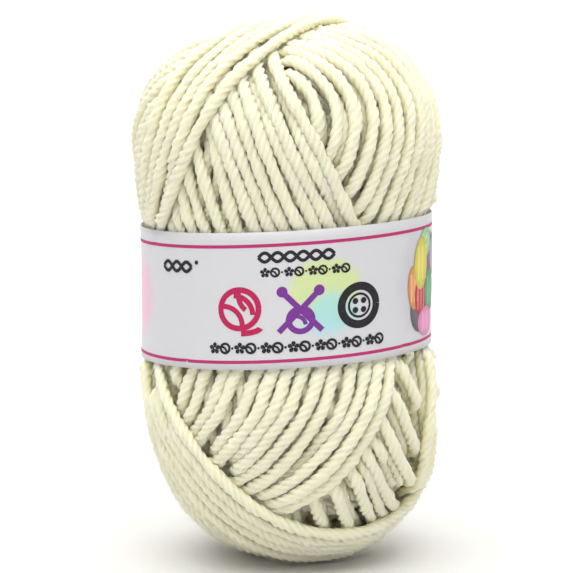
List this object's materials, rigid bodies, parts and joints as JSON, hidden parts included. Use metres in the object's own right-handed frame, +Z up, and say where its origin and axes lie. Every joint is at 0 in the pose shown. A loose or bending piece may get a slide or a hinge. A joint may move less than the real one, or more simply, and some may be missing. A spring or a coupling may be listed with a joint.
{
  "type": "ball of yarn",
  "caption": "Upright wound ball of thick cream yarn with slanting strands and rounded ends, held at its drawn-in waist by a paper band with a plain printed pattern.",
  "frame": {"origin": "middle of the ball's bounding box at the surface it stands on", "axes": "+Z up along the ball's length, the printed front of the band faces -Y, +X to the right seen from the front"},
  "size_m": [0.0672, 0.0636, 0.1197],
  "materials": {
    "yarn": "soft plied acrylic yarn, matt, cream",
    "paper": "coated paper, satin, near white with printed lines and motifs"
  },
  "bodies": {
    "root": {"wound_yarn": "yarn", "label_band": "paper"}
  },
  "joints": []
}
